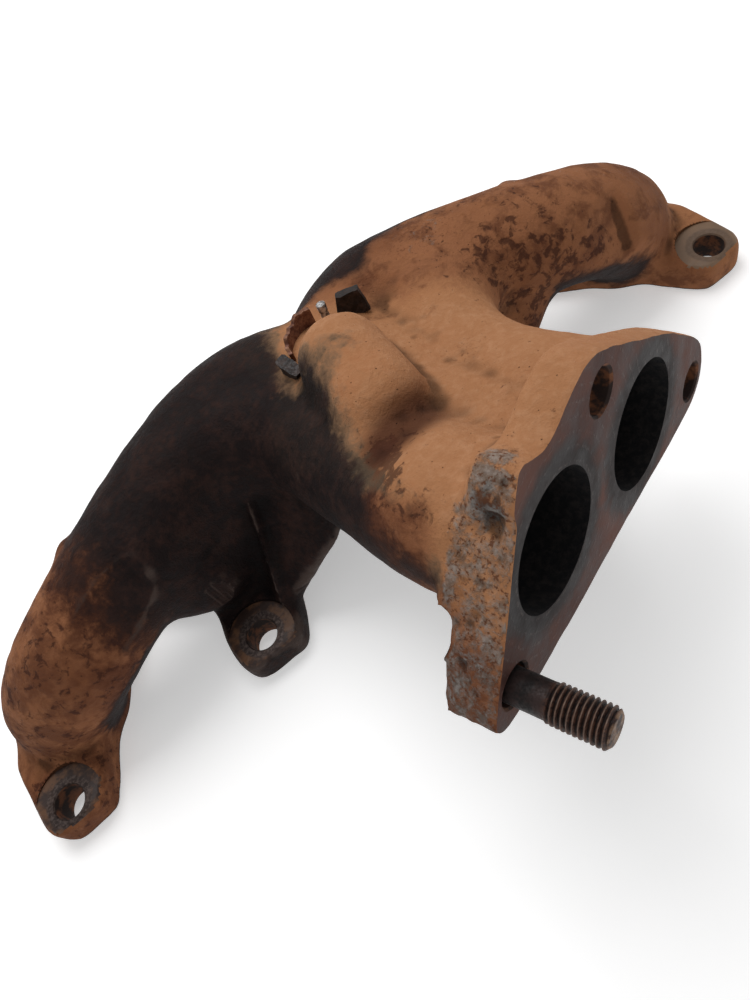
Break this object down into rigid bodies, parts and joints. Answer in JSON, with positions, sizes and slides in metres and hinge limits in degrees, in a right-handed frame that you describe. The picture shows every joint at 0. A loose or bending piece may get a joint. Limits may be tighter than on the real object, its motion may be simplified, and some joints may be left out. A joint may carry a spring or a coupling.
{
  "type": "exhaust manifold",
  "caption": "Cast-iron engine exhaust manifold: end and inner head runners merging into a collector with a two-port outlet flange and one stud.",
  "frame": {"origin": "in the plane of the head gasket faces, midway between the two end bolt holes", "axes": "+Z out of the cylinder head, +X along the crankshaft from the left end ear to the right, outlet flange on the -Y side"},
  "size_m": [0.324, 0.1829, 0.1158],
  "materials": {
    "cast_iron": "rough rusty casting",
    "stud_steel": "dark oxidised",
    "sheet_steel": "rusty sheet",
    "bright_steel": "worn bright"
  },
  "bodies": {
    "root": {"casting": "cast_iron", "outlet_stud": "stud_steel", "strap_band": "sheet_steel", "strap_lug": "sheet_steel", "strap_tab": "sheet_steel", "strap_rivet": "bright_steel"}
  },
  "joints": []
}
